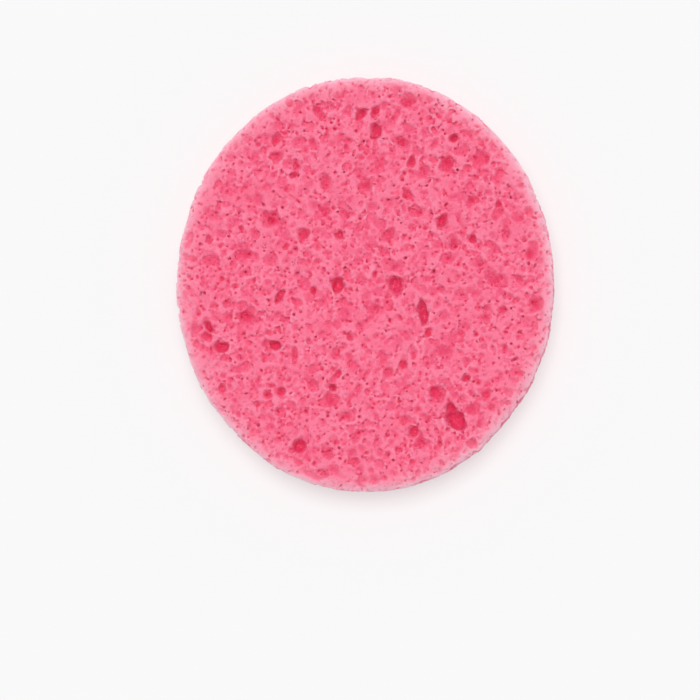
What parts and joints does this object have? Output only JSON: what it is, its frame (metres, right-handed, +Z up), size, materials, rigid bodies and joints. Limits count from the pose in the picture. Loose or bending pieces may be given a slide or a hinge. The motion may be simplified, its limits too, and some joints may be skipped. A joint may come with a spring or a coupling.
{
  "type": "facial sponge",
  "caption": "Oval facial sponge pad with flat faces, rounded edges and an open-pored cellulose foam surface for wetting, cleansing and wiping the skin.",
  "frame": {"origin": "middle of the underside, on the surface that the pad lies on", "axes": "+Z up through the thickness, +Y along the longer axis of the oval, +X along the shorter axis"},
  "size_m": [0.0726, 0.08, 0.01],
  "materials": {
    "cellulose_foam": "matt dry cellulose foam, open pored, paler along ridges and rim and deeper in the pores"
  },
  "bodies": {
    "root": {"sponge_pad": "cellulose_foam"}
  },
  "joints": []
}
